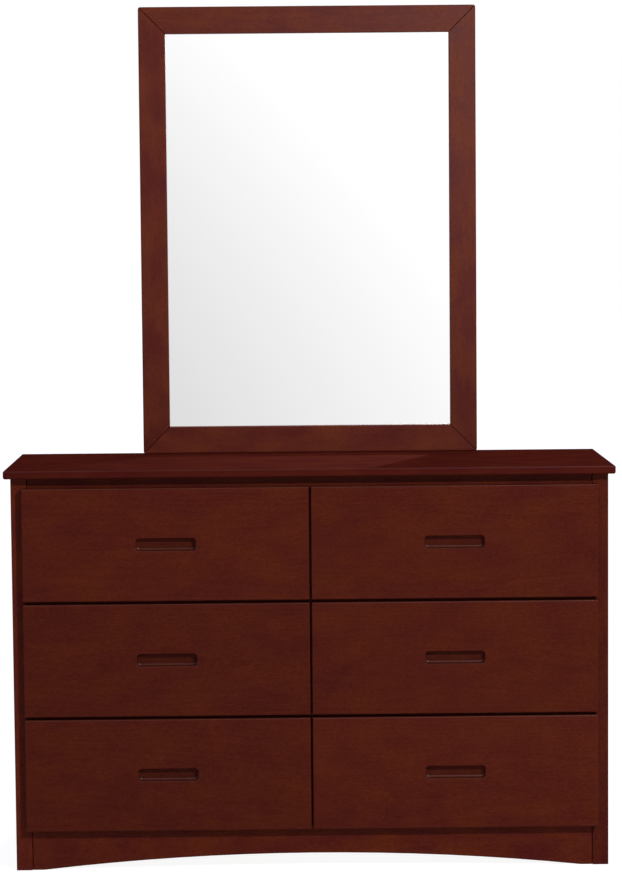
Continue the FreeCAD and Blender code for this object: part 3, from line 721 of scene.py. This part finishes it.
@dataclass
class Carcass:
    """The cabinet: top, sides, face frame, partition, back, runners and blocks."""

    brad: Brad = Brad()
    brad_pitch_mm: float = 92.0
    brad_edge_mm: float = 3.5
    screw: CrossScrew = CrossScrew(radius_mm=3.4, crown_mm=0.1, cross_mm=1.8, recess_mm=1.4, sink_mm=2.2)
    runner_shares: tuple[float, ...] = (0.12, 0.5, 0.88)
    runner_half_mm: float = 7.5
    block_reach_mm: float = 13.0
    # Painted shade: the top rail under the top's overhang is darker.
    painted_shade_tone: float = 0.9
    # Painted light: the rails seen through the drawer gaps are lighter, so the gaps are less black.
    painted_gap_light_tone: float = 1.25
    # Painted light: the arched base rail is lighter, against the light that falls off low down.
    painted_base_light_tone: float = 1.08
    # Left, centre and right stiles: the left lighter as painted light in the drawer's shadow, the right
    # darker as painted shade.
    painted_stile_light_tones: tuple[float, float, float] = (1.22, 1.0, 0.9)

    def dress(self) -> None:
        """Puts the finishes on the cabinet's boards."""
        dress("top_panel", TOP_PINE.material("top_panel", Lay.TOP))
        for hand in Hand:
            for node, finish, lay in ((f"{hand.word}_side_panel", SIDE_PINE, Lay.SIDE),
                                      (f"{hand.word}_side_runners", WAXED_BEECH, Lay.DRAWER_SIDE),
                                      (f"partition_{hand.word}_runners", WAXED_BEECH, Lay.DRAWER_SIDE)):
                dress(node, finish.material(node, lay))
        # The stiles' tones are painted light on the left and painted shade on the right.
        for place, tone in zip(("left", "centre", "right"), self.painted_stile_light_tones):
            node = f"{place}_front_stile"
            dress(node, STAINED_PINE.material(node, Lay.STILE, tone))
        # Painted shade on the top rail; painted light on the rails in the gaps and on the base rail.
        for node, tone in (("top_front_rail", self.painted_shade_tone), ("upper_front_rails", self.painted_gap_light_tone),
                           ("lower_front_rails", self.painted_gap_light_tone), ("arched_base_rail", self.painted_base_light_tone)):
            dress(node, STAINED_PINE.material(node, Lay.RAIL, tone))
        dress("centre_partition", BARE_PINE.material("centre_partition", Lay.SIDE))
        for node in ("rear_top_rail", "rear_middle_rail", "rear_base_rail", "corner_blocks"):
            dress(node, BARE_PINE.material(node, Lay.RAIL))
        dress("back_panel", HARDBOARD.material("back_panel"))

    def build(self) -> None:
        """Builds the brads of the back and the screws of the runners and blocks."""
        fasten("back_panel_brads", self.brad.shape(self._brad_places()))
        fasten("runner_screws", self.screw.shape(self._runner_places()))
        fasten("corner_block_screws", self.screw.shape(self._block_places()))

    def _brad_places(self) -> list[Matrix]:
        """Spaces the brads round the back panel and along the rails and the partition.

        Returns:
            The brads' places, without those that a mirror support would cover.
        """
        low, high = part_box("back_panel")
        inset = self.brad_edge_mm * MM
        rails = [height(f"rear_{place}_rail") for place in ("top", "middle", "base")]
        count = round((high.z - low.z) / (self.brad_pitch_mm * MM))
        rows = [low.z + inset + (high.z - low.z - 2 * inset) * i / count for i in range(count + 1)]
        points = [(x, z) for x in (low.x + inset, 0.0, high.x - inset) for z in rows]
        count = round((high.x - low.x) / (self.brad_pitch_mm * MM))
        points += [(low.x + (high.x - low.x) * (i + 0.5) / count, z) for i in range(count) for z in rails]
        covers = [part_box(f"{hand.word}_mirror_support") for hand in Hand]
        clear = 2 * inset
        return [facing((x, high.y, z), (0.0, 1.0, 0.0)) for x, z in points
                if not any(a.x - clear < x < b.x + clear and z > a.z - clear for a, b in covers)]

    def _runner_places(self) -> list[Matrix]:
        """Spaces the screws along the runners, on the faces that the drawers ride along.

        Returns:
            The screws' places, three on each runner.
        """
        places = []
        half = self.runner_half_mm * MM
        for hand in Hand:
            for node, side in ((f"{hand.word}_side_runners", -hand.value),
                               (f"partition_{hand.word}_runners", hand.value)):
                low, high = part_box(node)
                x = high.x if side > 0 else low.x
                for step in range(len(Row)):
                    z = low.z + half + (high.z - low.z - 2 * half) * step / (len(Row) - 1)
                    places += [facing((x, low.y + (high.y - low.y) * share, z), (side, 0.0, 0.0))
                               for share in self.runner_shares]
        return places

    def _block_places(self) -> list[Matrix]:
        """Finds the screws that go up through the corner blocks into the top.

        Returns:
            The screws' places, one in each block.
        """
        low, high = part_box("corner_blocks")
        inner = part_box("centre_partition")[1].x
        reach = self.block_reach_mm * MM
        return [facing((hand.value * x, y, low.z), (0.0, 0.0, -1.0)) for hand in Hand
                for x in (inner + reach, high.x - reach) for y in (low.y + reach, high.y - reach)]


@dataclass
class Drawer:
    """One drawer: a stained front with its routed pull, on a bare pine box with a plywood bottom."""

    row: Row
    hand: Hand
    tone: float

    def dress(self) -> None:
        """Puts the finishes on the drawer's boards."""
        name = f"{self.row.value}_{self.hand.word}_drawer"
        dress(f"{name}_front", FRONT_PINE.material(f"{name}_front", Lay.RAIL, self.tone))
        for board, finish, lay in (("left_side", BARE_PINE, Lay.DRAWER_SIDE),
                                   ("right_side", BARE_PINE, Lay.DRAWER_SIDE),
                                   ("back", BARE_PINE, Lay.RAIL), ("bottom", BIRCH_PLY, Lay.TOP)):
            dress(f"{name}_{board}", finish.material(f"{name}_{board}", lay))


@dataclass
class MirrorUnit:
    """The mirror in its mitred frame, with its backing, clips, supports and screws."""

    tones: tuple[float, float, float, float] = (1.0, 1.13, 1.03, 1.02)
    support_screw: CrossScrew = CrossScrew()
    support_shares: tuple[float, float] = (0.25, 0.75)
    clip_screw: CrossScrew = CrossScrew(radius_mm=2.9, crown_mm=0.9, cross_mm=1.5, recess_mm=1.0, sink_mm=0.3)
    clip_reach_mm: float = 39.3
    clip_gap_mm: float = 320.0
    side_clip_share: float = 0.802

    def dress(self) -> None:
        """Puts the finishes on the frame, glass, backing, clips and supports."""
        for (node, lay), tone in zip(FRAME_MEMBERS.items(), self.tones):
            dress(node, FRAME_PINE.material(node, lay, tone))
        for hand in Hand:
            node = f"{hand.word}_mirror_support"
            dress(node, STAINED_PINE.material(node, Lay.STILE))
        dress("mirror_glass", SilveredGlass().material())
        dress("mirror_backing", HARDBOARD.material("mirror_backing"))
        dress("backing_clips", ZINC.material("backing_clips"))

    def build(self) -> None:
        """Builds the screws of the supports and of the clips."""
        heads = fasten("support_screw_heads", self.support_screw.shape(self._support_places()))
        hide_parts("mirror_support_screws")
        fasten("clip_screws", self.clip_screw.shape(self._clip_places()))

    def _support_places(self) -> list[Matrix]:
        """Finds the screws of both supports.

        Returns:
            The screws' places: on each support, two into the cabinet's rails and two into the mirror's stile.
        """
        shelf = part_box("top_panel")[1].z
        rails = [height(f"rear_{place}_rail") for place in ("middle", "top")]
        places = []
        for hand in Hand:
            low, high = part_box(f"{hand.word}_mirror_support")
            rows = rails + [shelf + (high.z - shelf) * share for share in self.support_shares]
            face = high.y - self.support_screw.crown_mm * MM
            places += [facing(((low.x + high.x) / 2, face, z), (0.0, 1.0, 0.0)) for z in rows]
        return places

    def _clip_places(self) -> list[Matrix]:
        """Finds the screws of the clips.

        Returns:
            The screws' places: two above, two below and one on each side.
        """
        low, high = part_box("mirror_bottom_rail")
        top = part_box("mirror_top_rail")[1].z
        middle = (low.x + high.x) / 2
        reach = self.clip_reach_mm * MM
        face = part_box("backing_clips")[1].y
        points = [(middle + hand.value * self.clip_gap_mm * MM / 2, z) for hand in Hand
                  for z in (low.z + reach, top - reach)]
        side = low.z + (top - low.z) * self.side_clip_share
        points += [(low.x + reach, side), (high.x - reach, side)]
        return [facing((x, face, z), (0.0, 1.0, 0.0)) for x, z in points]


def light_group(name: str, nodes: tuple[str, ...]) -> bpy.types.Collection:
    """Groups CAD nodes that a lamp lights, or that shade it.

    Args:
        name: The group's name.
        nodes: The nodes.

    Returns:
        The group.
    """
    group = bpy.data.collections.new(name)
    for node in nodes:
        group.objects.link(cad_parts[node])
    return group


@dataclass(frozen=True)
class Lamp:
    """A square lamp: where it hangs, where it points, its width and height, and its power in watts."""

    name: str
    place: Point
    aim: Point
    size: tuple[float, float]
    watts: float
    only: tuple[str, ...] = ()

    def hang(self) -> None:
        """Hangs the lamp, out of the camera's sight. One for chosen nodes alone gives them only its sheen."""
        data = bpy.data.lights.new(self.name, "AREA")
        data.shape = "RECTANGLE"
        data.size, data.size_y = self.size
        data.energy = self.watts
        lamp = bpy.data.objects.new(self.name, data)
        away = Vector(self.place) - Vector(self.aim)
        lamp.matrix_world = Matrix.Translation(self.place) @ away.to_track_quat("Z", "Y").to_matrix().to_4x4()
        lamp.visible_camera = False
        lamp.visible_diffuse = not self.only
        bpy.context.scene.collection.objects.link(lamp)
        if self.only:
            lamp.light_linking.receiver_collection = light_group(self.name, self.only)


@dataclass(frozen=True)
class MirrorThrow:
    """The patch of key light that the mirror throws on the top: a spot at the key lamp's mirror image.

    Stray rays alone would find that light too seldom. The spot shines only through the mirror's opening.
    """

    name: str = "mirror_throw"
    watts: float = 700.0
    radius: float = 0.006
    spread: float = 110.0
    falloff: tuple[float, float] = (0.55, 1.5)
    cast: Colour = (0.95, 1.5, 1.9, 1.0)

    def hang(self, key: Lamp) -> None:
        """Hangs the spot behind the mirror.

        Args:
            key: The lamp that the mirror reflects.
        """
        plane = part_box("mirror_glass")[1].y
        place = Vector((key.place[0], 2 * plane - key.place[1], key.place[2]))
        data = bpy.data.lights.new(self.name, "SPOT")
        data.energy = self.watts
        data.shadow_soft_size = self.radius
        data.spot_size = math.radians(self.spread)
        data.use_nodes = True
        self._beam(data.node_tree, place, place.y - plane)
        lamp = bpy.data.objects.new(self.name, data)
        lamp.matrix_world = Matrix.Translation(place) @ Matrix(((-1, 0, 0), (0, 0, 1), (0, 1, 0))).to_4x4()
        lamp.visible_glossy = False
        bpy.context.scene.collection.objects.link(lamp)
        lamp.light_linking.receiver_collection = light_group(f"{self.name}_lit", ("top_panel",))
        lamp.light_linking.blocker_collection = light_group(f"{self.name}_shade", ("mirror_bottom_rail",))

    def _beam(self, tree: Tree, place: Vector, reach: float) -> None:
        """Cuts the beam to the mirror's opening and makes one side of it stronger.

        Args:
            tree: The lamp's node tree.
            place: Where the lamp hangs.
            reach: How far it hangs behind the glass.
        """
        left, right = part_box("mirror_left_stile")[1].x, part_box("mirror_right_stile")[0].x
        low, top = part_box("mirror_bottom_rail")[1].z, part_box("mirror_top_rail")[0].z
        middle = ((left + right) / 2 - place.x) / reach
        half = (right - left) / 2 / reach
        tree.nodes.clear()
        way = add_node(tree, "SeparateXYZ", {0: add_node(tree, "TexCoord").outputs["Normal"]})
        slope = add_node(tree, "Math", {0: way.outputs["X"], 1: way.outputs["Z"]}, operation="DIVIDE")
        drop = add_node(tree, "Math", {0: way.outputs["Y"], 1: way.outputs["Z"]}, operation="DIVIDE")
        across = add_node(tree, "Math", {0: slope}, {1: middle, 2: half}, operation="COMPARE")
        upright = add_node(tree, "Math", {0: drop},
                           {1: (place.z - (low + top) / 2) / reach, 2: (top - low) / 2 / reach},
                           operation="COMPARE")
        through = add_node(tree, "Math", {0: across, 1: upright}, operation="MULTIPLY")
        level = add_node(tree, "MapRange", {"Value": slope},
                         {**ends("From", (middle - half, middle + half)), **ends("To", self.falloff)})
        strength = add_node(tree, "Math", {0: through, 1: level}, operation="MULTIPLY")
        light = add_node(tree, "Emission", {"Strength": strength}, {"Color": self.cast})
        add_node(tree, "OutputLight", {"Surface": light})


@dataclass(frozen=True)
class Scrim:
    """A lit white cloth before the object, which only reflections show.

    It is greyer below and to the left, and white at its edges. Across and upright hold one edge, where the
    full shade starts and ends, and the other edge.
    """

    y: float = -8.0
    across: tuple[float, float, float, float] = (-2.2, -0.75, 0.85, 2.3)
    upright: tuple[float, float, float, float] = (0.02, 0.25, 2.25, 4.2)
    level: float = 0.825
    slope: float = 0.158
    rise: tuple[float, float] = (0.072, 0.022)

    def stand(self) -> None:
        """Stands the cloth upright, out of the camera's sight."""
        left, right = self.across[0], self.across[3]
        low, top = self.upright[0], self.upright[3]
        shape = bmesh.new()
        middle = Matrix.Translation(((left + right) / 2, self.y, (low + top) / 2))
        grow = Matrix.Diagonal(((right - left) / 2, (top - low) / 2, 1.0, 1.0))
        bmesh.ops.create_grid(shape, x_segments=1, y_segments=1, size=1.0,
                              matrix=middle @ Matrix.Rotation(math.pi / 2, 4, "X") @ grow)
        cloth = new_object("front_scrim", shape, self._cloth())
        cloth.visible_camera = False
        cloth.visible_diffuse = False
        cloth.visible_shadow = False
        cloth.visible_transmission = False

    def _cloth(self) -> bpy.types.Material:
        """Makes the lit cloth.

        Returns:
            The material, which glows whiter to the right and above, and fades to plain white at the edges.
        """
        material, tree = new_material("lit_white_scrim")
        place = add_node(tree, "SeparateXYZ", {0: add_node(tree, "TexCoord").outputs["Object"]})
        slope = add_node(tree, "Math", {0: place.outputs["X"]}, {1: self.slope, 2: self.level - 1.0},
                         operation="MULTIPLY_ADD")
        steeper = add_node(tree, "Math", {0: place.outputs["Z"]}, {1: self.rise[1], 2: self.rise[0]},
                           operation="MULTIPLY_ADD")
        shade = add_node(tree, "Math", {0: place.outputs["Z"], 1: steeper, 2: slope},
                         operation="MULTIPLY_ADD")
        for axis, (outer, full, end, other) in (("X", self.across), ("Z", self.upright)):
            for edge, inner in ((outer, full), (other, end)):
                shade = add_node(tree, "MapRange", {"Value": place.outputs[axis], "To Max": shade},
                                 ends("From", (edge, inner)), interpolation_type="SMOOTHSTEP")
        white = add_node(tree, "Math", {0: shade}, {1: 1.0}, operation="ADD")
        glow = add_node(tree, "Emission", {"Strength": white})
        add_node(tree, "OutputMaterial", {"Surface": glow})
        return material


@dataclass
class Studio:
    """The white room, its floor, lamps and scrim, and the camera that took the photograph."""

    camera_place: Point = (-0.042, -5.586, 1.286)
    pitch: float = 4.53
    yaw: float = 0.485
    roll: float = -0.501
    lens: float = 113.84
    key: Lamp = Lamp("key_lamp", (2.0, -3.55, 3.17), (0.0, -0.1, 0.8), (0.25, 0.25), 147.0)
    rim: Lamp = Lamp("rim_lamp", (0.4, 1.9, 2.9), (0.0, 0.0, 0.8), (1.0, 0.5), 24.0)
    sheen: Lamp = Lamp("sheen_lamp", (0.93, -3.9, 2.2), (0.2, 0.17, 1.4), (0.4, 0.4), 190.0,
                       tuple(FRAME_MEMBERS))
    throw: MirrorThrow = MirrorThrow()
    fill: tuple[float, float] = (0.42, 0.2)
    fill_colour: Colour = (1.0, 0.88, 1.3, 1.0)
    floor_radius: float = 30.0
    floor_sides: int = 96
    floor_colour: Colour = (0.8, 0.8, 0.8, 1.0)
    shadow_colour: Colour = (0.25, 0.25, 0.25, 1.0)
    floor_glow: tuple[float, float] = (0.92, 1.0)
    glow_radii: tuple[float, float] = (1.5, 6.0)
    scrim: Scrim = Scrim()

    def build(self) -> None:
        """Builds everything that lights or shows the object."""
        self._camera()
        self.key.hang()
        self.rim.hang()
        self.sheen.hang()
        self.throw.hang(self.key)
        self._world()
        self._floor()
        self.scrim.stand()
        bpy.context.scene.view_settings.view_transform = "Standard"

    def _camera(self) -> None:
        """Sets the camera at the photograph's place and turn."""
        pitch, yaw, roll = (math.radians(a) for a in (self.pitch, self.yaw, self.roll))
        forward = Vector((math.sin(yaw) * math.cos(pitch), math.cos(yaw) * math.cos(pitch), -math.sin(pitch)))
        level = Vector((math.cos(yaw), -math.sin(yaw), 0.0))
        upright = level.cross(forward)
        right = math.cos(roll) * level + math.sin(roll) * upright
        up = math.cos(roll) * upright - math.sin(roll) * level
        data = bpy.data.cameras.new("photo_camera")
        data.lens = self.lens
        camera = bpy.data.objects.new("photo_camera", data)
        turn = Matrix((right, up, -forward)).transposed()
        camera.matrix_world = Matrix.Translation(self.camera_place) @ turn.to_4x4()
        bpy.context.scene.collection.objects.link(camera)
        bpy.context.scene.camera = camera

    def _world(self) -> None:
        """Fills the shadows, more from the left, and shows white behind the object."""
        world = bpy.data.worlds.new("white_room")
        bpy.context.scene.world = world
        world.use_nodes = True
        tree = world.node_tree
        tree.nodes.clear()
        seen = seen_directly(tree)
        place = add_node(tree, "TexCoord")
        side = add_node(tree, "SeparateXYZ", {0: place.outputs["Generated"]})
        fill = add_node(tree, "MapRange", {"Value": side.outputs["X"]},
                        {"From Min": -1.0, **ends("To", self.fill)})
        strength = add_node(tree, "MapRange", {"Value": seen, "To Min": fill}, {"To Max": 1.0})
        colour = add_node(tree, "Mix", {"Factor": seen}, {MIX_A: self.fill_colour, MIX_B: WHITE},
                          data_type="RGBA")
        light = add_node(tree, "Background", {"Strength": strength, "Color": colour.outputs[MIXED]})
        add_node(tree, "OutputWorld", {"Surface": light})

    def _floor(self) -> None:
        """Lays the pale floor, white to the eye but for the object's shadow."""
        material, tree = new_material("matt_white_floor")
        plain = add_node(tree, "BsdfDiffuse", values={"Color": self.floor_colour})
        shade = add_node(tree, "BsdfDiffuse", values={"Color": self.shadow_colour})
        place = add_node(tree, "TexCoord")
        away = add_node(tree, "VectorMath", {0: place.outputs["Object"]}, operation="LENGTH")
        level = add_node(tree, "MapRange", {"Value": away.outputs["Value"]},
                         {**ends("From", self.glow_radii), **ends("To", self.floor_glow)})
        glow = add_node(tree, "Emission", {"Strength": level})
        white = add_node(tree, "AddShader", {0: shade, 1: glow})
        seen = seen_directly(tree)
        mixed = add_node(tree, "MixShader", {0: seen, 1: plain, 2: white})
        add_node(tree, "OutputMaterial", {"Surface": mixed})
        shape = bmesh.new()
        bmesh.ops.create_circle(shape, cap_ends=True, segments=self.floor_sides, radius=self.floor_radius)
        new_object("floor", shape, material)


def main() -> None:
    """Dresses the dresser, builds its small hardware and the studio."""
    logging.basicConfig(level=logging.INFO, format="%(name)s %(message)s")
    carcass = Carcass()
    carcass.dress()
    carcass.build()
    for row, tones in zip(Row, FRONT_TONES):
        for hand, tone in zip(Hand, tones):
            Drawer(row, hand, tone).dress()
    mirror = MirrorUnit()
    mirror.dress()
    mirror.build()
    Studio().build()


if __name__ == "__main__":
    main()
